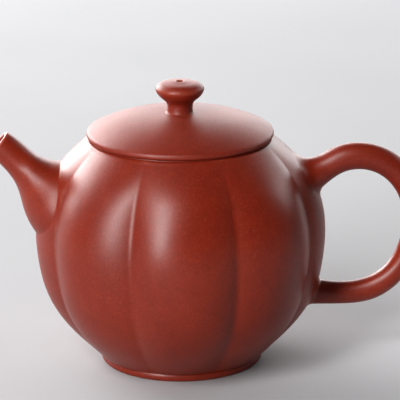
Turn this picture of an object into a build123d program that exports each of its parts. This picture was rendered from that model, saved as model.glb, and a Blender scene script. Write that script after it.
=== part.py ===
from build123d import *
import math
import os

# A small lobed clay teapot, millimetres. +Z is up, the origin is the centre of the foot on the
# table, the spout points to -X and the handle to +X. The pot is symmetric about the XZ plane.

# ---- driving dimensions -------------------------------------------------------------------
LOBES = 8
BULGE = 0.47              # how far a lobe's own centre lies from the pot's axis, as a share of the radius
VALLEY_RADIUS = 3.2       # hollow fillet between two lobes
FADE_START = 45.0         # the lobes die out from this height up to the mouth
FOOT_FADE = (14.0, 0.62)  # they also flatten from this height down to the foot, by this share
WALL = 2.8
STATIONS = 13             # levels at which the lobed wall is drawn

# Ridge radius and height up the wall, from the foot to the mouth
BODY_PROFILE = (
    (24.1, 2.4), (28.4, 6.2), (34.0, 12.0), (38.8, 20.0), (41.3, 30.0), (42.0, 39.0),
    (40.5, 48.5), (36.6, 56.5), (31.7, 62.0), (26.55, 66.5),
)
SEAM_LEVEL = 60.0         # the wall is closed above this height by the shoulder disc
MOUTH_LEVEL = 66.9        # top of the mouth ring, where the lid rests
RING_SEAT_LEVEL = 65.7    # bottom of the step in the shoulder that the mouth ring sits in

FOOT_HEIGHT = 2.4
FOOT_OUTER = 23.5
FOOT_INNER = 18.6
FOOT_ROUND = 0.4

BASE_RADIUS = 21.3
BASE_TOP = 5.0

MOUTH_BORE = 22.5
MOUTH_OUTER = 26.0        # stands back from the lid's rim, which overhangs it
MOUTH_ROUND = 0.35

LID_RADIUS = 26.95
LID_RIM_LEVEL = 68.5      # level that the dome's curve starts from
LID_RISE = 5.35
LID_EDGE = (0.58, 0.95)   # how far the rounded rim stands out from the dome and from the seat
LID_WIDEST = 67.82        # level where the rim stands out furthest
LID_FLATNESS = 2.6        # power of the dome's curve: higher is flatter in the middle
LID_THICKNESS = 3.0
LID_ARCH = (11.0, 69.9)   # a point half way out on the hollow underside: radius and height
FLANGE_OUTER = 22.2
FLANGE_INNER = 20.0
FLANGE_DEPTH = 8.0
FLANGE_CHAMFER = 0.5
VENT_RADIUS = 0.95

KNOB_HEIGHT = 9.3
# Radius and height above the lid, up the stem and over the head
KNOB_CONTOUR = (
    (3.9, 0), (3.7, 0.5), (3.65, 1.6), (3.85, 2.9), (4.9, 4.1), (6.1, 5.2), (6.85, 6.4), (7.0, 7.1),
    (6.3, 8.1), (3.5, 9.0),
)
KNOB_SEAT = 4.3           # flat on top of the lid that carries the knob

STRAINER_CENTRE = (-37.0, 48.4)
STRAINER_RADIUS = 10.6
STRAINER_WALL = 1.4
STRAINER_HOLE = 0.8       # radius of each hole
STRAINER_ROWS = ((0, 1), (17, 6), (34, 12), (51, 16))    # tilt from the dome's middle, holes in the row

# Each spout section, root first: lowest and highest point of its outline in the XZ plane, half
# its width across the pot, and the wall around the bore
SPOUT_SECTIONS = (
    ((-33.0, 31.7), (-24.8, 58.1), 14.6, 6.0),
    ((-41.2, 37.9), (-33.8, 59.2), 12.8, 3.6),
    ((-44.0, 42.2), (-36.9, 59.6), 10.6, 2.9),
    ((-45.4, 45.9), (-39.5, 60.6), 8.5, 2.6),
    ((-46.4, 50.0), (-41.8, 62.0), 6.7, 2.3),
    ((-47.8, 53.8), (-43.4, 63.4), 5.4, 2.1),
    ((-50.0, 57.1), (-45.1, 65.0), 4.75, 1.9),
    ((-52.5, 59.9), (-47.3, 66.9), 4.45, 1.8),
    ((-55.2, 62.7), (-49.7, 68.7), 4.1, 1.6),
)

# Handle centre line in the XZ plane with the handle's radius at each place, upper root first
HANDLE_LINE = (
    ((31.5, 51.3), 6.8), ((37.4, 54.4), 5.2), ((41.5, 56.6), 4.05), ((46.3, 59.2), 3.9),
    ((52.4, 60.05), 3.9), ((59.0, 58.1), 3.85), ((65.1, 52.3), 3.8), ((68.4, 41.0), 3.75),
    ((66.9, 33.2), 3.5), ((62.4, 25.1), 3.25), ((55.2, 19.9), 3.4), ((47.4, 18.6), 3.3),
    ((42.2, 18.8), 3.5), ((38.0, 19.2), 3.9), ((32.0, 20.0), 4.8),
)


def bulge_at(height):
    """The lobes keep one shape in the belly and flatten out to a round mouth and a rounder foot."""
    low_start, low_share = FOOT_FADE
    if height < low_start:
        fall = (low_start - height) / (low_start - FOOT_HEIGHT)
        return BULGE * (1 - low_share * fall**2)
    if height <= FADE_START:
        return BULGE
    rise = (height - FADE_START) / (MOUTH_LEVEL - FADE_START)
    return BULGE * (1 - rise**3)


def on_circle(centre, radius, angle):
    return (centre[0] + radius * math.cos(angle), centre[1] + radius * math.sin(angle))


def lobed_outline(ridge, height):
    """One level of the wall: an arc for each lobe and a hollow arc for each valley between two."""
    half = math.pi / LOBES
    offset = bulge_at(height) * ridge
    lobe = ridge - offset
    reach = lobe + VALLEY_RADIUS
    valley = offset * math.cos(half) + math.sqrt(reach**2 - (offset * math.sin(half))**2)
    touch = math.atan2(valley * math.sin(half), valley * math.cos(half) - offset)
    arcs = []
    for number in range(LOBES):
        turn = number * 2 * half
        centre = on_circle((0, 0), offset, turn)
        start = on_circle(centre, lobe, turn - touch)
        end = on_circle(centre, lobe, turn + touch)
        after = on_circle(on_circle((0, 0), offset, turn + 2 * half), lobe, turn + 2 * half - touch)
        arcs.append(ThreePointArc(start, on_circle((0, 0), ridge, turn), end))
        arcs.append(ThreePointArc(end, on_circle((0, 0), valley - VALLEY_RADIUS, turn + half), after))
    return Plane.XY.offset(height) * make_face(arcs)


def lobed_solid(inset):
    """The pot's solid shape, drawn in by a wall thickness all over."""
    curve = Spline(*BODY_PROFILE)
    levels = []
    for number in range(STATIONS):
        place = number / (STATIONS - 1)
        point = curve @ place
        along = curve % place
        levels.append(lobed_outline(point.X - inset * along.Y, point.Y + inset * along.X))
    return loft(levels)


def turned(outline):
    """A solid of revolution about Z from a closed outline in the XZ plane."""
    return revolve(Plane.XZ * make_face(outline), Axis.Z)


def ring(inner, outer, low, high):
    """A flat ring about Z."""
    profile = Circle(outer) - Circle(inner)
    return extrude(Plane.XY.offset(low) * profile, high - low)


def spout_solid(hollow):
    """Oval sections along the spout: its outside, or its bore when hollow."""
    sections = []
    for low, high, half_width, wall in SPOUT_SECTIONS:
        inset = wall if hollow else 0
        across = Vector(high[0] - low[0], 0, high[1] - low[1])
        middle = Vector((low[0] + high[0]) / 2, 0, (low[1] + high[1]) / 2)
        plane = Plane(origin=middle, x_dir=(0, 1, 0), z_dir=across.cross(Vector(0, 1, 0)))
        sections.append(plane * Ellipse(half_width - inset, across.length / 2 - inset))
    return loft(sections)


def handle_solid():
    """Round sections along the handle's centre line."""
    path = Spline(*[(point[0], 0, point[1]) for point, radius in HANDLE_LINE])
    sections = []
    for point, radius in HANDLE_LINE:
        place = path.param_at_point(Vector(point[0], 0, point[1]))
        sections.append(Plane(origin=path @ place, x_dir=(0, 1, 0), z_dir=path % place) * Circle(radius))
    return loft(sections)


def foot_ring():
    """Low ring that the pot stands on, with rounded edges below."""
    blank = ring(FOOT_INNER, FOOT_OUTER, 0, FOOT_HEIGHT)
    low_edges = blank.edges().filter_by(GeomType.CIRCLE).group_by(Axis.Z)[0]
    return fillet(low_edges, FOOT_ROUND)


def base_disc():
    """Flat slab that closes the wall from below."""
    return extrude(Plane.XY.offset(FOOT_HEIGHT) * Circle(BASE_RADIUS), BASE_TOP - FOOT_HEIGHT)


def clay_wall(envelope, chamber, port):
    """The whole lobed wall, open at the mouth, at the base and behind the spout."""
    mouth = extrude(Plane.XY.offset(SEAM_LEVEL) * Circle(MOUTH_BORE), MOUTH_LEVEL - SEAM_LEVEL)
    step = extrude(Plane.XY.offset(RING_SEAT_LEVEL) * Circle(MOUTH_OUTER), MOUTH_LEVEL - RING_SEAT_LEVEL)
    base = extrude(Circle(BASE_RADIUS), BASE_TOP)
    return envelope - chamber - mouth - step - base - port


def mouth_ring():
    """Thin band around the mouth that the lid closes on, set into the shoulder."""
    blank = ring(MOUTH_BORE, MOUTH_OUTER, RING_SEAT_LEVEL, MOUTH_LEVEL)
    outer_top = blank.edges().filter_by(GeomType.CIRCLE).group_by(Axis.Z)[-1].sort_by(SortBy.RADIUS)[-1]
    return fillet(outer_top, MOUTH_ROUND)


def strainer_dome(chamber):
    """Ball filter: a pierced dome that bulges into the chamber behind the spout."""
    centre = Pos(STRAINER_CENTRE[0], 0, STRAINER_CENTRE[1])
    dome = centre * (Sphere(STRAINER_RADIUS) - Sphere(STRAINER_RADIUS - STRAINER_WALL))
    dome &= chamber
    for row, (tilt, count) in enumerate(STRAINER_ROWS):
        for number in range(count):
            spin = (number + 0.5 * (row % 2)) * 360 / count
            aim = centre * Rot(spin, 0, 0) * Rot(0, 90 - tilt, 0) * Pos(0, 0, STRAINER_RADIUS)
            dome -= aim * Cylinder(STRAINER_HOLE, 4 * STRAINER_WALL)
    return dome


def lid_height(radius):
    return LID_RIM_LEVEL + LID_RISE * (1 - (radius / LID_RADIUS)**LID_FLATNESS)


def lid_disc():
    """Domed plate with a rounded rim, flat where it rests on the mouth and where the knob sits."""
    crown, seat = (LID_RADIUS - edge for edge in LID_EDGE)
    crown_height = lid_height(crown)
    seat_height = lid_height(KNOB_SEAT)
    under = seat_height - LID_THICKNESS
    dome = [(radius, lid_height(radius)) for radius in (KNOB_SEAT, 9, 14, 19, 23, crown)]
    outline = [
        Line((VENT_RADIUS, seat_height), (KNOB_SEAT, seat_height)),
        Spline(*dome),
        ThreePointArc((crown, crown_height), (LID_RADIUS, LID_WIDEST), (seat, MOUTH_LEVEL)),
        Line((seat, MOUTH_LEVEL), (FLANGE_INNER, MOUTH_LEVEL)),
        ThreePointArc((FLANGE_INNER, MOUTH_LEVEL), LID_ARCH, (VENT_RADIUS, under)),
        Line((VENT_RADIUS, under), (VENT_RADIUS, seat_height)),
    ]
    return turned(outline)


def lid_flange():
    """Deep ring under the lid that keeps it in the mouth."""
    blank = ring(FLANGE_INNER, FLANGE_OUTER, MOUTH_LEVEL - FLANGE_DEPTH, MOUTH_LEVEL)
    return chamfer(blank.edges().filter_by(GeomType.CIRCLE).group_by(Axis.Z)[0], FLANGE_CHAMFER)


def knob():
    """Mushroom knob on a short stem, pierced by the vent."""
    foot = lid_height(KNOB_SEAT)
    top = foot + KNOB_HEIGHT
    outline = [
        Line((VENT_RADIUS, foot), (KNOB_CONTOUR[0][0], foot)),
        Spline(*[(radius, foot + rise) for radius, rise in KNOB_CONTOUR], (VENT_RADIUS, top)),
        Line((VENT_RADIUS, top), (VENT_RADIUS, foot)),
    ]
    return turned(outline)


def main():
    os.makedirs("parts", exist_ok=True)
    envelope = lobed_solid(0)
    chamber = split(lobed_solid(WALL), Plane.XY.offset(BASE_TOP), keep=Keep.TOP)
    bore = spout_solid(hollow=True)
    wall = clay_wall(envelope, chamber, bore)
    seam = Plane.XY.offset(SEAM_LEVEL)
    nodes = {
        "foot_ring": foot_ring(),
        "base_disc": base_disc(),
        "body_wall": split(wall, seam, keep=Keep.BOTTOM),
        "shoulder_disc": split(wall, seam, keep=Keep.TOP),
        "mouth_ring": mouth_ring(),
        "strainer_dome": strainer_dome(chamber),
        "spout": spout_solid(hollow=False) - envelope - bore,
        "handle": handle_solid() - envelope,
        "lid_disc": lid_disc(),
        "lid_flange": lid_flange(),
        "knob": knob(),
    }
    for name, solid in nodes.items():
        export_step(solid, f"parts/{name}.step")


main()
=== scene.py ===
import math

import bpy
import numpy as np
from mathutils import Matrix, Vector


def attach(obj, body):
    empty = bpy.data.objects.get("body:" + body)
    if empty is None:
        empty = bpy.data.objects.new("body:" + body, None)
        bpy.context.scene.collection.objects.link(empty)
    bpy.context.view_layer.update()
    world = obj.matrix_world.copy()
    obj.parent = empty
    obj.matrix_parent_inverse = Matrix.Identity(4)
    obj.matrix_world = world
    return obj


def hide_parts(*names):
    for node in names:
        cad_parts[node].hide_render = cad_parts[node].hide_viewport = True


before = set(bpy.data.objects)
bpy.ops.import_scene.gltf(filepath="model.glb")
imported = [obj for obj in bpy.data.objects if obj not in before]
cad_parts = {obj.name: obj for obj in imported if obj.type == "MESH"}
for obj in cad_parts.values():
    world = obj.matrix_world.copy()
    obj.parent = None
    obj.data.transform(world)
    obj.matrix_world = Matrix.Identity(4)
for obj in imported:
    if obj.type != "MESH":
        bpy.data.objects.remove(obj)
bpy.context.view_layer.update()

# Shapes below are worked out in millimetres and turned into metres as each mesh is made.
MM = 0.001

# ---- the pot's own dimensions -----------------------------------------------------------------
LOBES = 8
HALF_LOBE = math.pi / LOBES
BULGE = 0.47              # a lobe's centre lies this share of the radius from the axis
VALLEY_RADIUS = 3.2
FADE_START = 45.0         # above this height the lobes die out
FOOT_FADE = (14.0, 0.62)  # below this height they flatten too, by this share
WALL = 2.8
BODY_PROFILE = (
    (24.1, 2.4), (28.4, 6.2), (34.0, 12.0), (38.8, 20.0), (41.3, 30.0), (42.0, 39.0),
    (40.5, 48.5), (36.6, 56.5), (31.7, 62.0), (26.55, 66.5),
)
SHOULDER_EDGE = ((27.0, 0.32), (26.8, 0.16), (26.55, 0.05), (26.3, 0.0))    # rounded: radius, drop
RING_SEAT_LEVEL = 65.7
MOUTH_LEVEL = 66.9
MOUTH_BORE = 22.5
MOUTH_OUTER = 26.0
FOOT_HEIGHT = 2.4
FOOT_OUTER = 23.5
FOOT_INNER = 18.6
BASE_RADIUS = 21.3
BASE_TOP = 5.0

LID_RADIUS = 26.95
LID_RIM_LEVEL = 68.5
LID_RISE = 5.35
LID_WIDEST = 67.82
LID_FLATNESS = 2.6
LID_UNDERSIDE = ((20.0, 66.9), (11.0, 69.9), (0.95, 70.8))
FLANGE_OUTER = 22.2
FLANGE_INNER = 20.0
FLANGE_DEPTH = 8.0
VENT_RADIUS = 0.95
KNOB_SEAT = 4.3
KNOB_HEIGHT = 9.3

# Spout sections, root first: lowest and highest point in the XZ plane, half width, wall
SPOUT_SECTIONS = (
    (-33.0, 31.7, -24.8, 58.1, 14.6, 6.0), (-41.2, 37.9, -33.8, 59.2, 12.8, 3.6),
    (-44.0, 42.2, -36.9, 59.6, 10.6, 2.9), (-45.4, 45.9, -39.5, 60.6, 8.5, 2.6),
    (-46.4, 50.0, -41.8, 62.0, 6.7, 2.3), (-47.8, 53.8, -43.4, 63.4, 5.4, 2.1),
    (-50.0, 57.1, -45.1, 65.0, 4.75, 1.9), (-52.5, 59.9, -47.3, 66.9, 4.45, 1.8),
    (-55.2, 62.7, -49.7, 68.7, 4.1, 1.6),
)
# Handle centre line in the XZ plane and its radius, upper root first
HANDLE_LINE = (
    (31.5, 51.3, 6.8), (37.4, 54.4, 5.2), (41.5, 56.6, 4.05), (46.3, 59.2, 3.9),
    (52.4, 60.05, 3.9), (59.0, 58.1, 3.85), (65.1, 52.3, 3.8), (68.4, 41.0, 3.75),
    (66.9, 33.2, 3.5), (62.4, 25.1, 3.25), (55.2, 19.9, 3.4), (47.4, 18.6, 3.3),
    (42.2, 18.8, 3.5), (38.0, 19.2, 3.9), (32.0, 20.0, 4.8),
)

# ---- rounded edges, rubbed-in roots and unevenness, which the plain solids don't have ----------
SHOULDER_EDGE_START = 0.55    # the shoulder's lobed rings stop this far below its top
LID_ROLL_START = 0.62         # the lid's dome starts to roll over this far in from the rim
LID_SEAT_INSET = 0.95
LID_ROLL = (0.42, 0.5, 0.55, 0.5)    # pulls of the rim's two curves, from the dome to the seat
FLANGE_ROUND = 0.9
FLANGE_PULL = (0.2, 0.6)
BAND_ROUND = 0.35
BAND_PULL = (0.12, 0.2)
FOOT_SWELL = ((-0.35, FOOT_HEIGHT), (-0.06, 1.8), (0.0, 1.1), (-0.18, 0.4), (-0.6, 0.0))
FOOT_INNER_ROUND = ((0.7, 0.0), (0.2, 0.0), (0.0, 0.3), (0.0, 0.8))
# The knob's contour: radius and height above the lid, from its foot up to the vent
KNOB_CONTOUR = (
    (4.25, 0.0), (3.98, 0.12), (3.78, 0.4), (3.68, 0.9), (3.65, 1.7), (3.85, 2.9), (4.9, 4.1),
    (6.1, 5.2), (6.85, 6.4), (7.0, 7.1), (6.35, 8.1), (3.6, 8.98), (1.45, 9.27),
)
VENT_EDGE = ((1.15, 0.02), (VENT_RADIUS, 0.05), (VENT_RADIUS, 0.4))    # radius, drop from the top
FILLET_PULL = 0.55
ROOT_SINK = 0.9               # a root is closed this deep inside the wall
ROOT_EDGE = 0.25
# Fillet at each handle root, and how much softer it is towards the loop's outside
UPPER_ROOT_FILLET = (2.6, 0.8)
LOWER_ROOT_FILLET = (1.5, 0.2)
SPOUT_FILLET = 0.45
LIP_DEPTH = 0.9

# The wall's unevenness as waves: size, number around the pot, twist per millimetre, start
WAVES = (
    (0.07, 2, 1 / 17, 0.6), (0.05, 3, -1 / 11, 2.1), (0.035, 7, 1 / 6, 0.0),
    (0.025, 12, -1 / 4.5, 1.3),
)

# ---- mesh density -----------------------------------------------------------------------------
LOBE_COLUMNS = 40
VALLEY_CROWDING = 0.62
WALL_ROWS = 150
CHAMBER_ROWS = 70
CHAMBER_GAP = 0.2             # keeps the chamber's rows this far above the base
LATHE_COLUMNS = 224
KNOB_COLUMNS = 128
TUBE_COLUMNS = 72
HANDLE_STEPS = 700
HANDLE_RINGS = 150
HANDLE_CROWDING = 0.4
SPOUT_STEPS = 500
SPOUT_RINGS = 70
BORE_RINGS = 45
LIP_RINGS = 12
LIP_STEPS = 10                # the lip takes up this many of the spout's steps
PORT_RINGS = 12
PORT_OVERRUN = 12             # steps that the port's cutter goes past the wall
SHARP_ANGLE = math.radians(40)


# ---- curves -----------------------------------------------------------------------------------
def spline(points, count):
    """Evenly spread points along the smooth curve that passes through a few given points."""
    knots = np.array(points, float)
    steps = np.linalg.norm(np.diff(knots[:, :2], axis=0), axis=1)
    times = np.concatenate(([0.0], np.cumsum(steps)))
    size = len(knots)
    system = np.eye(size)
    target = np.zeros_like(knots)
    for i in range(1, size - 1):
        system[i, i - 1:i + 2] = steps[i - 1], 2 * (steps[i - 1] + steps[i]), steps[i]
        rise = (knots[i + 1] - knots[i]) / steps[i] - (knots[i] - knots[i - 1]) / steps[i - 1]
        target[i] = 6 * rise
    bends = np.linalg.solve(system, target)
    at = np.linspace(0, times[-1], count)
    span = np.clip(np.searchsorted(times, at, side="right") - 1, 0, size - 2)
    width = steps[span][:, None]
    after = (at - times[span])[:, None] / width
    before = 1 - after
    swell = (before**3 - before) * bends[span] + (after**3 - after) * bends[span + 1]
    return before * knots[span] + after * knots[span + 1] + swell * width**2 / 6


def bezier(start, pull, push, end, count):
    """Points along a cubic curve with two handles."""
    t = np.linspace(0, 1, count)[:, None]
    start, pull, push, end = (np.array(p, float) for p in (start, pull, push, end))
    return (1 - t)**3 * start + 3 * t * (1 - t)**2 * pull + 3 * t**2 * (1 - t) * push + t**3 * end


def arc_through(first, middle, last, count):
    """Points on the circle through three points."""
    (ax, ay), (bx, by), (cx, cy) = first, middle, last
    cross = 2 * (ax * (by - cy) + bx * (cy - ay) + cx * (ay - by))
    a2, b2, c2 = ax**2 + ay**2, bx**2 + by**2, cx**2 + cy**2
    x = (a2 * (by - cy) + b2 * (cy - ay) + c2 * (ay - by)) / cross
    y = (a2 * (cx - bx) + b2 * (ax - cx) + c2 * (bx - ax)) / cross
    radius = math.hypot(ax - x, ay - y)
    angles = np.unwrap([math.atan2(p[1] - y, p[0] - x) for p in (first, middle, last)])
    sweep = np.linspace(angles[0], angles[2], count)
    return np.stack([x + radius * np.cos(sweep), y + radius * np.sin(sweep)], -1)


def line(start, end, count=2):
    """Evenly spread points from start to end."""
    t = np.linspace(0, 1, count)[:, None]
    return (1 - t) * np.array(start, float) + t * np.array(end, float)


# ---- the lobed wall as a formula --------------------------------------------------------------
PROFILE = spline(BODY_PROFILE, 600)
SHOULDER_LEVEL = BODY_PROFILE[-1][1]


def lobe_radius(angle, ridge, height):
    """Distance from the axis to an outline of lobe arcs joined by hollow valley arcs."""
    low_start, low_share = FOOT_FADE
    rise = np.clip((height - FADE_START) / (MOUTH_LEVEL - FADE_START), 0, 1)
    fall = np.clip((low_start - height) / (low_start - FOOT_HEIGHT), 0, 1)
    offset = BULGE * (1 - rise**3 - low_share * fall**2) * ridge
    lobe = ridge - offset
    cos_half, sin_half = math.cos(HALF_LOBE), math.sin(HALF_LOBE)
    valley = offset * cos_half + np.sqrt((lobe + VALLEY_RADIUS)**2 - (offset * sin_half)**2)
    touch = np.arctan2(valley * sin_half, valley * cos_half - offset)
    meet = np.arctan2(lobe * np.sin(touch), offset + lobe * np.cos(touch))
    away = np.abs((angle + HALF_LOBE) % (2 * HALF_LOBE) - HALF_LOBE)
    on_lobe = offset * np.cos(away) + np.sqrt(lobe**2 - (offset * np.sin(away))**2)
    inner = HALF_LOBE - away
    hollow = np.maximum(VALLEY_RADIUS**2 - (valley * np.sin(inner))**2, 0)
    in_valley = valley * np.cos(inner) - np.sqrt(hollow)
    return np.where(away < meet, on_lobe, in_valley)


def wobble(angle, height):
    """The slight unevenness that handwork leaves in a burnished wall."""
    return sum(
        size * np.sin(turns * angle + twist * height + start)
        for size, turns, twist, start in WAVES
    )


def wall_radius(angle, height):
    """Outer surface of the finished wall."""
    ridge = np.interp(height, PROFILE[:, 1], PROFILE[:, 0])
    return lobe_radius(angle, ridge, height) + wobble(angle, height)


def wall_depth(point):
    """How far points lie outside the wall's outer surface, measured level with the table."""
    angle = np.arctan2(point[..., 1], point[..., 0])
    return np.hypot(point[..., 0], point[..., 1]) - wall_radius(angle, point[..., 2])


def wall_point(point):
    """Points moved level onto the wall's outer surface."""
    angle = np.arctan2(point[..., 1], point[..., 0])
    radius = wall_radius(angle, point[..., 2])
    return np.stack([radius * np.cos(angle), radius * np.sin(angle), point[..., 2]], -1)


def wall_normal(point):
    """Outward direction of the wall's surface, from small steps along each axis."""
    steps = 0.05 * np.eye(3)
    slopes = [wall_depth(point + step) - wall_depth(point - step) for step in steps]
    return unit(np.stack(slopes, -1))


def unit(vectors):
    """The same directions with length one."""
    return vectors / np.linalg.norm(vectors, axis=-1, keepdims=True)


# ---- making meshes ----------------------------------------------------------------------------
def solid(name, rings, closed=True):
    """A closed mesh through rings of points: a ring of rings, or a rod with two ends."""
    rings = np.asarray(rings)
    rows, columns = rings.shape[:2]
    index = np.arange(rows * columns).reshape(rows, columns)
    beside = np.roll(index, -1, axis=1)
    above = np.roll(index, -1, axis=0)
    corner = np.roll(above, -1, axis=1)
    last = rows if closed else rows - 1
    quads = np.stack([index, beside, corner, above], -1)[:last].reshape(-1, 4)
    faces = quads.tolist()
    if not closed:
        faces += [index[0, ::-1].tolist(), index[-1].tolist()]
    mesh = bpy.data.meshes.new(name)
    mesh.from_pydata((rings.reshape(-1, 3) * MM).tolist(), [], faces)
    piece = bpy.data.objects.new(name, mesh)
    bpy.context.scene.collection.objects.link(piece)
    face_outward(mesh)
    mesh.shade_smooth()
    mesh.set_sharp_from_angle(angle=SHARP_ANGLE)
    return piece


def face_outward(mesh):
    """Turns every face round if the mesh as a whole is inside out."""
    mesh.calc_loop_triangles()
    points = np.array([v.co for v in mesh.vertices])
    corners = points[np.array([t.vertices[:] for t in mesh.loop_triangles])]
    volume = np.einsum("ij,ij->i", corners[:, 0], np.cross(corners[:, 1], corners[:, 2])).sum()
    if volume < 0:
        mesh.flip_normals()


def lathe(name, contour, columns=LATHE_COLUMNS):
    """A closed contour of radius and height turned about the pot's axis."""
    angles = np.linspace(0, 2 * math.pi, columns, endpoint=False)
    contour = np.asarray(contour)
    x = contour[:, :1] * np.cos(angles)
    y = contour[:, :1] * np.sin(angles)
    z = np.repeat(contour[:, 1:], columns, axis=1)
    return solid(name, np.stack([x, y, z], -1))


def join(*runs):
    """One contour out of several, without the points that two runs share."""
    points = [np.asarray(runs[0])]
    for run in runs[1:]:
        run = np.asarray(run)
        points.append(run[1:] if np.allclose(run[0], points[-1][-1]) else run)
    contour = np.concatenate(points)
    return contour[:-1] if np.allclose(contour[0], contour[-1]) else contour


# ---- pieces that are turned about the axis ----------------------------------------------------
def lid_height(radius):
    """Level of the lid's dome at a distance from its middle."""
    return LID_RIM_LEVEL + LID_RISE * (1 - (radius / LID_RADIUS)**LID_FLATNESS)


def make_lid():
    """Dome that rolls over smoothly into a thin rim, flat where it meets the mouth ring."""
    rim_start = LID_RADIUS - LID_ROLL_START
    start = np.array([rim_start, lid_height(rim_start)])
    small = 0.01
    fall = unit(np.array([small, lid_height(rim_start + small) - lid_height(rim_start)]))
    widest = (LID_RADIUS, LID_WIDEST)
    seat = (LID_RADIUS - LID_SEAT_INSET, MOUTH_LEVEL)
    radii = np.linspace(KNOB_SEAT, rim_start, 60)
    dome = np.stack([radii, lid_height(radii)], -1)
    off_dome, above, below, off_seat = LID_ROLL
    over = bezier(start, start + off_dome * fall, (widest[0], widest[1] + above), widest, 14)
    under = bezier(widest, (widest[0], widest[1] - below), (seat[0] + off_seat, seat[1]), seat, 12)
    arch = arc_through(*LID_UNDERSIDE, 40)
    top = lid_height(KNOB_SEAT)
    contour = join(
        line((VENT_RADIUS, top), (KNOB_SEAT, top), 4), dome, over, under,
        line(seat, LID_UNDERSIDE[0], 8), arch, line(LID_UNDERSIDE[-1], (VENT_RADIUS, top), 4),
    )
    return lathe("lid_plate", contour)


def make_flange():
    """Deep ring under the lid, its lower edge rounded by wiping."""
    low = MOUTH_LEVEL - FLANGE_DEPTH
    middle = (FLANGE_INNER + FLANGE_OUTER) / 2
    outer, inner = (FLANGE_OUTER, low + FLANGE_ROUND), (FLANGE_INNER, low + FLANGE_ROUND)
    rise, reach = FLANGE_PULL
    contour = join(
        line((FLANGE_OUTER, MOUTH_LEVEL), outer, 10),
        bezier(outer, (FLANGE_OUTER, low + rise), (middle + reach, low), (middle, low), 8),
        bezier((middle, low), (middle - reach, low), (FLANGE_INNER, low + rise), inner, 8),
        line(inner, (FLANGE_INNER, MOUTH_LEVEL), 10),
        line((FLANGE_INNER, MOUTH_LEVEL), (FLANGE_OUTER, MOUTH_LEVEL)),
    )
    return lathe("lid_collar", contour)


def make_knob():
    """Mushroom head on a short stem, its foot smoothed onto the lid and its vent softly edged."""
    foot = lid_height(KNOB_SEAT)
    head = foot + KNOB_HEIGHT
    outside = spline([(radius, foot + rise) for radius, rise in KNOB_CONTOUR], 110)
    rim = bezier(outside[-1], *[(radius, head - drop) for radius, drop in VENT_EDGE], 8)
    vent_end = (VENT_RADIUS, foot)
    contour = join(outside, rim, line(rim[-1], vent_end, 10), line(vent_end, outside[0], 4))
    return lathe("lid_knob", contour, columns=KNOB_COLUMNS)


def make_mouth_ring():
    """Thin band under the lid with a soft outer edge that catches the light."""
    low, high = RING_SEAT_LEVEL, MOUTH_LEVEL
    side = (MOUTH_OUTER, high - BAND_ROUND)
    edge = (MOUTH_OUTER - BAND_ROUND, high)
    drop, reach = BAND_PULL
    contour = join(
        line((MOUTH_BORE, low), (MOUTH_OUTER, low), 4),
        line((MOUTH_OUTER, low), side, 5),
        bezier(side, (MOUTH_OUTER, high - drop), (edge[0] + reach, high), edge, 8),
        line(edge, (MOUTH_BORE, high), 6),
        line((MOUTH_BORE, high), (MOUTH_BORE, low), 4),
    )
    return lathe("mouth_band", contour)


def make_foot():
    """Low ring, slightly swollen outside, flat where it stands."""
    outside = spline([(FOOT_OUTER + out, height) for out, height in FOOT_SWELL], 20)
    inside = [(FOOT_INNER + out, height) for out, height in FOOT_INNER_ROUND]
    top = (FOOT_INNER, FOOT_HEIGHT)
    contour = join(
        outside, line(outside[-1], inside[0], 6), bezier(*inside, 6), line(inside[-1], top, 4),
        line(top, outside[0], 4),
    )
    return lathe("foot_band", contour)


# ---- the lobed wall ---------------------------------------------------------------------------
def wall_angles():
    """Columns gather towards the valleys, where the outline turns quickest."""
    t = np.linspace(-1, 1, LOBE_COLUMNS, endpoint=False)
    one = HALF_LOBE * (t + VALLEY_CROWDING * np.sin(math.pi * t) / math.pi)
    return np.concatenate([one + 2 * HALF_LOBE * number for number in range(LOBES)])


def make_wall():
    """The belly and shoulder in one wall, lobed inside and out."""
    angles = wall_angles()
    curve = spline(BODY_PROFILE, WALL_ROWS)
    levels = curve[curve[:, 1] < SHOULDER_LEVEL - SHOULDER_EDGE_START, 1]
    rings = [ring_at(angles, wall_radius(angles, level), level) for level in levels]
    for radius, drop in SHOULDER_EDGE:
        rings.append(ring_at(angles, np.full_like(angles, radius), SHOULDER_LEVEL - drop))
    slope = unit(np.gradient(curve, axis=0))
    inner = curve + WALL * np.stack([-slope[:, 1], slope[:, 0]], -1)
    picks = np.linspace(WALL_ROWS - 1, 0, CHAMBER_ROWS)
    rows = np.arange(WALL_ROWS)
    inner = np.stack([np.interp(picks, rows, inner[:, 0]), np.interp(picks, rows, inner[:, 1])], -1)
    ceiling = inner[0, 1]
    for radius, height in ((MOUTH_OUTER, SHOULDER_LEVEL), (MOUTH_OUTER, RING_SEAT_LEVEL),
                           (MOUTH_BORE, RING_SEAT_LEVEL), (MOUTH_BORE, ceiling)):
        rings.append(ring_at(angles, np.full_like(angles, radius), height))
    for ridge, height in inner:
        if height > BASE_TOP + CHAMBER_GAP:
            rings.append(ring_at(angles, lobe_radius(angles, ridge, height), height))
    ridge = np.interp(BASE_TOP, inner[::-1, 1], inner[::-1, 0])
    rings.append(ring_at(angles, lobe_radius(angles, ridge, BASE_TOP), BASE_TOP))
    rings.append(ring_at(angles, np.full_like(angles, BASE_RADIUS), BASE_TOP))
    rings.append(ring_at(angles, np.full_like(angles, BASE_RADIUS), FOOT_HEIGHT))
    return solid("pot_wall", rings)


def ring_at(angles, radius, height):
    """A level ring of points."""
    level = np.full_like(angles, height)
    return np.stack([radius * np.cos(angles), radius * np.sin(angles), level], -1)


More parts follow.
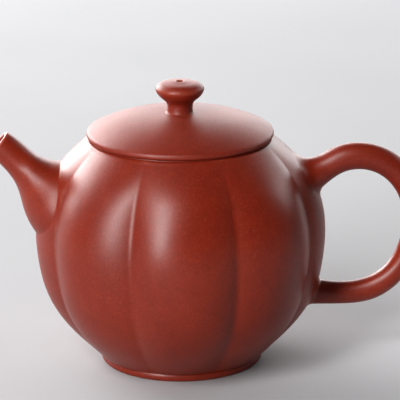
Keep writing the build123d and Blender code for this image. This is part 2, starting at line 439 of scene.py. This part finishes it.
# ---- tubes that grow out of the wall ----------------------------------------------------------
def crossing(strands):
    """For each strand of points coming out of the pot, the place where it last leaves the wall."""
    depth = wall_depth(strands)
    inside = depth < 0
    last = strands.shape[0] - 1 - np.argmax(inside[::-1], axis=0)
    last = np.minimum(last, strands.shape[0] - 2)
    columns = np.arange(strands.shape[1])
    low, high = depth[last, columns], depth[last + 1, columns]
    return last + low / (low - high)


def pick(strands, places):
    """Points at fractional places along each strand."""
    low = np.clip(np.floor(places).astype(int), 0, strands.shape[0] - 2)
    share = (places - low)[..., None]
    columns = np.arange(strands.shape[1])
    return strands[low, columns] * (1 - share) + strands[low + 1, columns] * share


def root_rings(strands, start, fillet, rows=10):
    """Rings from inside the wall, out along it, and up a hollow fillet onto the tube."""
    corner = pick(strands, start)
    seam = np.roll(corner, -1, axis=0) - np.roll(corner, 1, axis=0)
    away = unit(np.cross(seam, wall_normal(corner)))
    away *= np.sign(np.einsum("ij,ij->i", away, corner - corner.mean(axis=0)))[:, None]
    foot = wall_point(corner + fillet[:, None] * away)
    normal = wall_normal(foot)
    back = corner - foot
    back = unit(back - np.einsum("ij,ij->i", back, normal)[:, None] * normal)
    end = start + fillet / np.linalg.norm(pick(strands, start + 1) - corner, axis=-1)
    top = pick(strands, end)
    onward = unit(pick(strands, end + 1) - top)
    pull = FILLET_PULL * fillet[:, None]
    curve = [bezier(f, f + p * b, e - p * o, e, rows)
             for f, p, b, e, o in zip(foot, pull, back, top, onward)]
    return [foot - ROOT_SINK * normal, foot - ROOT_EDGE * normal, *np.stack(curve, axis=1)], end


def spread(start, end, count, crowd=0.0):
    """Places from start to end for each strand, crowded towards both ends if asked."""
    t = np.linspace(0, 1, count)
    t = t - crowd * np.sin(2 * math.pi * t) / (2 * math.pi)
    return start[None, :] * (1 - t[:, None]) + end[None, :] * t[:, None]


def make_handle():
    """Ear-shaped loop whose two roots are smoothed into the wall."""
    count = HANDLE_STEPS
    path = spline(HANDLE_LINE, count)
    centre = np.stack([path[:, 0], np.zeros(count), path[:, 1]], -1)
    along = unit(np.gradient(centre, axis=0))
    across = np.array([0.0, 1.0, 0.0])
    outward = np.cross(along, across)
    angles = np.linspace(0, 2 * math.pi, TUBE_COLUMNS, endpoint=False)
    cos, sin = np.cos(angles)[None, :, None], np.sin(angles)[None, :, None]
    spoke = outward[:, None, :] * cos + across * sin
    strands = centre[:, None, :] + path[:, 2][:, None, None] * spoke
    upper, lower = strands[:count // 2], strands[:count // 2:-1]
    upper_fillet, lower_fillet = (
        size + more * np.cos(angles) for size, more in (UPPER_ROOT_FILLET, LOWER_ROOT_FILLET)
    )
    upper_rings, upper_end = root_rings(upper, crossing(upper), upper_fillet)
    lower_rings, lower_end = root_rings(lower, crossing(lower), lower_fillet)
    lower_end = count - 1 - lower_end
    between = spread(upper_end, lower_end, HANDLE_RINGS, crowd=HANDLE_CROWDING)[1:-1]
    loop = [pick(strands, places) for places in between]
    return solid("pot_handle", upper_rings + loop + lower_rings[::-1], closed=False)


def spout_strands(hollow):
    """Lengthwise strands of the spout's outside, or of its bore."""
    count = SPOUT_STEPS
    path = spline(SPOUT_SECTIONS, count)
    low = np.stack([path[:, 0], np.zeros(count), path[:, 1]], -1)
    high = np.stack([path[:, 2], np.zeros(count), path[:, 3]], -1)
    centre, reach = (low + high) / 2, (high - low) / 2
    half_height = np.linalg.norm(reach, axis=1)
    inset = path[:, 5] if hollow else 0 * path[:, 5]
    tall = reach * ((half_height - inset) / half_height)[:, None]
    wide = (path[:, 4] - inset)[:, None] * np.array([0.0, 1.0, 0.0])
    angles = np.linspace(0, 2 * math.pi, TUBE_COLUMNS, endpoint=False)
    return (centre[:, None, :] + tall[:, None, :] * np.cos(angles)[None, :, None]
            + wide[:, None, :] * np.sin(angles)[None, :, None])


def make_spout():
    """Short tapering spout with a rounded lip; its root meets the wall in a fine hollow line."""
    outside, bore = spout_strands(False), spout_strands(True)
    last = outside.shape[0] - 1
    fillet = np.full(TUBE_COLUMNS, SPOUT_FILLET)
    root, root_end = root_rings(outside, crossing(outside), fillet, rows=6)
    tip = last - LIP_STEPS
    tips = np.full(TUBE_COLUMNS, float(tip))
    shell = [pick(outside, places) for places in spread(root_end, tips, SPOUT_RINGS)[1:]]
    edge, hole = outside[tip], bore[tip]
    ahead = (outside[last] - outside[tip]).mean(axis=0)
    forward = unit(ahead)
    lip_depth = LIP_DEPTH * np.linalg.norm(ahead)
    lip = []
    for turn in np.linspace(0, math.pi, LIP_RINGS)[1:-1]:
        share = (1 - math.cos(turn)) / 2
        lip.append(edge * (1 - share) + hole * share + forward * lip_depth * math.sin(turn))
    channel = [pick(bore, places) for places in spread(tips, crossing(bore), BORE_RINGS)]
    return solid("pot_spout", root + shell + lip + channel)


def cut_port(wall):
    """Opens the wall behind the spout along the spout's own bore."""
    bore = spout_strands(True)
    end = crossing(bore) + PORT_OVERRUN
    places = spread(np.zeros(TUBE_COLUMNS), end, PORT_RINGS)
    cutter = solid("port_cutter", [pick(bore, row) for row in places], closed=False)
    cut = wall.modifiers.new("port", "BOOLEAN")
    cut.operation = "DIFFERENCE"
    cut.solver = "EXACT"
    cut.object = cutter
    graph = bpy.context.evaluated_depsgraph_get()
    opened = bpy.data.meshes.new_from_object(wall.evaluated_get(graph))
    wall.modifiers.remove(cut)
    wall.data = opened
    opened.shade_smooth()
    opened.set_sharp_from_angle(angle=SHARP_ANGLE)
    bpy.data.objects.remove(cutter)


# ---- wear and painted shade -------------------------------------------------------------------
WEAR_AND_SHADE_REACH = 0.6
WEAR_AND_SHADE_ROUNDS = 4


def mark_wear_and_shade(piece):
    """Stores how proud or hollow each place is: worn colour and polish follow the proud places, and
    painted shade darkens the hollow ones.
    """
    mesh = piece.data
    count = len(mesh.vertices)
    points = np.zeros(count * 3)
    normals = np.zeros(count * 3)
    mesh.vertices.foreach_get("co", points)
    mesh.vertices.foreach_get("normal", normals)
    points, normals = points.reshape(-1, 3) / MM, normals.reshape(-1, 3)
    edges = np.zeros(len(mesh.edges) * 2, int)
    mesh.edges.foreach_get("vertices", edges)
    a, b = edges.reshape(-1, 2).T
    gap = points[b] - points[a]
    length = np.maximum(np.linalg.norm(gap, axis=1), 1e-4)
    turn = np.einsum("ij,ij->i", normals[b] - normals[a], gap) / length**2
    value = np.zeros(count)
    weight = np.zeros(count)
    for end in (a, b):
        np.add.at(value, end, turn * length)
        np.add.at(weight, end, length)
    value /= np.maximum(weight, 1e-6)
    for _ in range(WEAR_AND_SHADE_ROUNDS):
        total = np.zeros(count)
        parts = np.zeros(count)
        for end, other in ((a, b), (b, a)):
            share = np.exp(-length / WEAR_AND_SHADE_REACH)
            np.add.at(total, end, value[other] * share)
            np.add.at(parts, end, share)
        value = 0.5 * value + 0.5 * total / np.maximum(parts, 1e-6)
    layer = mesh.attributes.new("proud", "FLOAT", "POINT")
    layer.data.foreach_set("value", np.clip(value, -1, 1).astype(np.float32))


# ---- clay -------------------------------------------------------------------------------------
# Texture scales count repeats per metre
CLOUD_SCALE = 24
PATCH_SCALE = 48
MOTTLE_SCALE = 210
RUB_SCALE = 420
STROKE_SCALE = 700
GRAIN_SCALE = 2600
SKIN_SCALE = 3400
SAND_SCALE = 3600
PALE_SAND = (0.46, 0.12, 0.06, 1)
DARK_SAND = (0.06, 0.007, 0.004, 1)
RUBBED_CLAY = (0.40, 0.085, 0.04, 1)
# colour of the painted shade laid into hollow places
PAINTED_SHADE_CLAY = (0.08, 0.008, 0.004, 1)
MOTTLE_SHADE = 0.72
SKIN_DEPTH = 0.00005


class Nodes:
    """Short calls for building one material's node tree."""

    def __init__(self, name):
        self.material = bpy.data.materials.new(name)
        self.material.use_nodes = True
        self.tree = self.material.node_tree
        self.tree.nodes.clear()
        self.coordinates = self.add("ShaderNodeTexCoord").outputs["Object"]

    def add(self, kind, **settings):
        node = self.tree.nodes.new(kind)
        for key, value in settings.items():
            setattr(node, key, value)
        return node

    def link(self, source, socket):
        self.tree.links.new(source, socket)

    def noise(self, scale, detail=2.0, roughness=0.5, distortion=0.0, stretch=(1, 1, 1)):
        place = self.add("ShaderNodeMapping")
        place.inputs["Scale"].default_value = stretch
        self.link(self.coordinates, place.inputs["Vector"])
        node = self.add("ShaderNodeTexNoise")
        node.inputs["Scale"].default_value = scale
        node.inputs["Detail"].default_value = detail
        node.inputs["Roughness"].default_value = roughness
        node.inputs["Distortion"].default_value = distortion
        self.link(place.outputs["Vector"], node.inputs["Vector"])
        return node.outputs["Fac"]

    def ramp(self, source, low, high, start=0.0, end=1.0):
        """Maps a value range to another, clamped."""
        node = self.add("ShaderNodeMapRange")
        node.inputs["From Min"].default_value = low
        node.inputs["From Max"].default_value = high
        node.inputs["To Min"].default_value = start
        node.inputs["To Max"].default_value = end
        self.link(source, node.inputs["Value"])
        return node.outputs["Result"]

    def feed(self, sockets, values):
        """Links each value that is a socket, and sets each one that is a constant."""
        for socket, value in zip(sockets, values):
            if isinstance(value, bpy.types.NodeSocket):
                self.link(value, socket)
            else:
                socket.default_value = value

    def mix(self, factor, first, second):
        node = self.add("ShaderNodeMix", data_type="RGBA", blend_type="MIX")
        self.feed((node.inputs[0], node.inputs[6], node.inputs[7]), (factor, first, second))
        return node.outputs[2]

    def maths(self, operation, first, second):
        node = self.add("ShaderNodeMath", operation=operation)
        self.feed(node.inputs, (first, second))
        return node.outputs[0]

    def finish(self, shader):
        self.link(shader.outputs["BSDF"], self.add("ShaderNodeOutputMaterial").inputs["Surface"])
        return self.material


def clay(name, deep, warm, gloss, rough_mean):
    """Fired clay: cloudy colour, sand grains, a hand-rubbed satin skin, paler worn edges and
    painted shade in the hollows.
    """
    n = Nodes(name)
    clouds = n.ramp(n.noise(CLOUD_SCALE, 4, 0.55, 0.6), 0.32, 0.68)
    colour = n.mix(clouds, deep, warm)
    mottle = n.ramp(n.noise(MOTTLE_SCALE, 3, 0.6), 0.4, 0.72, 0.0, 0.28)
    colour = n.mix(mottle, colour, tuple(MOTTLE_SHADE * c for c in deep[:3]) + (1,))
    sand = n.add("ShaderNodeTexVoronoi", feature="F1")
    sand.inputs["Scale"].default_value = SAND_SCALE
    n.link(n.coordinates, sand.inputs["Vector"])
    tint = n.add("ShaderNodeSeparateColor")
    n.link(sand.outputs["Color"], tint.inputs["Color"])
    pale = n.ramp(tint.outputs["Red"], 0.88, 1.0, 0.0, 0.22)
    dark = n.ramp(tint.outputs["Green"], 0.86, 1.0, 0.0, 0.34)
    colour = n.mix(pale, colour, PALE_SAND)
    colour = n.mix(dark, colour, DARK_SAND)
    proud = n.add("ShaderNodeAttribute", attribute_name="proud").outputs["Fac"]
    rubbing = n.ramp(n.noise(RUB_SCALE, 3, 0.6), 0.3, 0.62, 0.25, 0.7)
    rubbed = n.maths("MULTIPLY", n.ramp(proud, 0.15, 0.8), rubbing)
    colour = n.mix(rubbed, colour, RUBBED_CLAY)
    # painted shade: the hollow places (grooves, root fillets) are darkened towards a near-black
    # red, standing in for the shade that falls there
    hollow = n.ramp(proud, -0.12, -0.6, 0.0, 0.35)
    colour = n.mix(hollow, colour, PAINTED_SHADE_CLAY)

    patches = n.ramp(n.noise(PATCH_SCALE, 3, 0.5), 0.3, 0.7, rough_mean - 0.03, rough_mean + 0.04)
    grain = n.ramp(n.noise(GRAIN_SCALE, 2, 0.6), 0.25, 0.75, -0.04, 0.04)
    rough = n.maths("ADD", patches, grain)
    rough = n.maths("SUBTRACT", rough, n.maths("MULTIPLY", rubbed, 0.06))

    skin = n.noise(SKIN_SCALE, 3, 0.65)
    strokes = n.noise(STROKE_SCALE, 2, 0.5, 0.0, (1, 1, 4))
    height = n.maths("ADD", n.maths("MULTIPLY", skin, 0.65), n.maths("MULTIPLY", strokes, 0.35))
    bump = n.add("ShaderNodeBump")
    bump.inputs["Strength"].default_value = 0.35
    bump.inputs["Distance"].default_value = SKIN_DEPTH
    n.link(height, bump.inputs["Height"])

    shader = n.add("ShaderNodeBsdfPrincipled")
    shader.inputs["IOR"].default_value = 1.5
    shader.inputs["Specular IOR Level"].default_value = gloss
    n.link(colour, shader.inputs["Base Color"])
    n.link(rough, shader.inputs["Roughness"])
    n.link(bump.outputs["Normal"], shader.inputs["Normal"])
    return n.finish(shader)


def floor_material():
    """Matt, pale and very slightly cloudy."""
    n = Nodes("pale_floor")
    tone = n.mix(n.ramp(n.noise(6, 3), 0.3, 0.7), (0.43, 0.43, 0.44, 1), (0.46, 0.46, 0.47, 1))
    shader = n.add("ShaderNodeBsdfPrincipled")
    shader.inputs["Roughness"].default_value = 0.85
    shader.inputs["Specular IOR Level"].default_value = 0.15
    n.link(tone, shader.inputs["Base Color"])
    return n.finish(shader)


# ---- assembly ---------------------------------------------------------------------------------
# Name: deep and warm colour, gloss, roughness
CLAYS = {
    "body_clay": ((0.186, 0.0156, 0.0042, 1), (0.242, 0.0240, 0.0070, 1), 0.53, 0.39),
    "lid_clay": ((0.192, 0.0164, 0.0050, 1), (0.246, 0.0246, 0.0080, 1), 0.58, 0.46),
    "inner_clay": ((0.30, 0.040, 0.018, 1), (0.34, 0.055, 0.026, 1), 0.30, 0.58),
}
clays = {name: clay(name, *look) for name, look in CLAYS.items()}

wall = make_wall()
cut_port(wall)
PIECES = (
    (wall, "pot", "body_clay", ("body_wall", "shoulder_disc")),
    (make_mouth_ring(), "pot", "body_clay", ("mouth_ring",)),
    (make_foot(), "pot", "body_clay", ("foot_ring",)),
    (make_spout(), "pot", "body_clay", ("spout",)),
    (make_handle(), "pot", "body_clay", ("handle",)),
    (make_lid(), "lid", "lid_clay", ("lid_disc",)),
    (make_flange(), "lid", "lid_clay", ("lid_flange",)),
    (make_knob(), "lid", "lid_clay", ("knob",)),
)
for piece, body, slot, nodes in PIECES:
    mark_wear_and_shade(piece)
    piece.data.materials.clear()
    piece.data.materials.append(clays[slot])
    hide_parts(*nodes)
    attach(piece, body)

for node, slot in (("base_disc", "body_clay"), ("strainer_dome", "inner_clay")):
    for material_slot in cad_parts[node].material_slots:
        material_slot.material = clays[slot]


# ---- floor, light and camera, in metres -------------------------------------------------------
FLOOR_REACH = 3.0
LIGHTS_AIM = Vector((0, 0, 0.04))
# Name, place, size and power of each soft light
SOFTBOXES = (
    ("window_back_left", (-0.84, 0.92, 0.52), (1.1, 0.75), 21),
    ("window_front_left", (-0.56, -0.80, 0.55), (0.28, 1.2), 15),
    ("back", (0.05, 1.6, 0.52), (2.8, 0.9), 30),
    ("window_right", (1.20, 0.55, 0.65), (0.6, 0.5), 3),
)
CAMERA_ANGLES = (-1.7, 17.03, -0.32)    # azimuth, elevation and roll in degrees
CAMERA_TARGET = (0.00559, 0, 0.04743)
CAMERA_DISTANCE = 0.900
SENSOR_WIDTH = 36                       # this and the lens in millimetres
LENS = 279.9
WORLD_COLOUR = (1.0, 0.97, 0.94, 1)
WORLD_STRENGTH = 0.07


def make_floor():
    """A plain flat floor."""
    reach = FLOOR_REACH
    corners = [(-reach, -reach, 0), (reach, -reach, 0), (reach, reach, 0), (-reach, reach, 0)]
    mesh = bpy.data.meshes.new("floor")
    mesh.from_pydata(corners, [], [(0, 1, 2, 3)])
    floor = bpy.data.objects.new("floor", mesh)
    bpy.context.scene.collection.objects.link(floor)
    mesh.materials.append(floor_material())


def softbox(name, place, size, power):
    """A rectangular soft light aimed at the middle of the pot."""
    data = bpy.data.lights.new(name, "AREA")
    data.shape = "RECTANGLE"
    data.size, data.size_y = size
    data.energy = power
    lamp = bpy.data.objects.new(name, data)
    bpy.context.scene.collection.objects.link(lamp)
    turn = (LIGHTS_AIM - Vector(place)).to_track_quat("-Z", "Y").to_matrix().to_4x4()
    lamp.matrix_world = Matrix.Translation(place) @ turn


def make_camera():
    """Looks slightly down on the pot from a little to the spout's side."""
    azimuth, elevation, roll = (math.radians(angle) for angle in CAMERA_ANGLES)
    turn = Matrix.Rotation(azimuth, 4, "Z")
    target = turn @ Vector(CAMERA_TARGET)
    forward = Vector((0, math.cos(elevation), -math.sin(elevation)))
    right = Vector((1, 0, 0))
    up = right.cross(forward)
    tilted_right = math.cos(roll) * right + math.sin(roll) * up
    tilted_up = math.cos(roll) * up - math.sin(roll) * right
    axes = Matrix((tilted_right, tilted_up, -forward)).transposed().to_4x4()
    data = bpy.data.cameras.new("camera")
    data.sensor_width = SENSOR_WIDTH
    data.lens = LENS
    data.clip_start = 0.01
    camera = bpy.data.objects.new("camera", data)
    bpy.context.scene.collection.objects.link(camera)
    place = target - turn @ forward * CAMERA_DISTANCE
    camera.matrix_world = Matrix.Translation(place) @ turn @ axes
    bpy.context.scene.camera = camera


make_floor()
for box in SOFTBOXES:
    softbox(*box)
make_camera()

world = bpy.data.worlds.new("studio")
world.use_nodes = True
background = world.node_tree.nodes["Background"]
background.inputs["Color"].default_value = WORLD_COLOUR
background.inputs["Strength"].default_value = WORLD_STRENGTH
bpy.context.scene.world = world
bpy.context.scene.view_settings.view_transform = "Standard"
bpy.context.scene.view_settings.look = "Medium High Contrast"
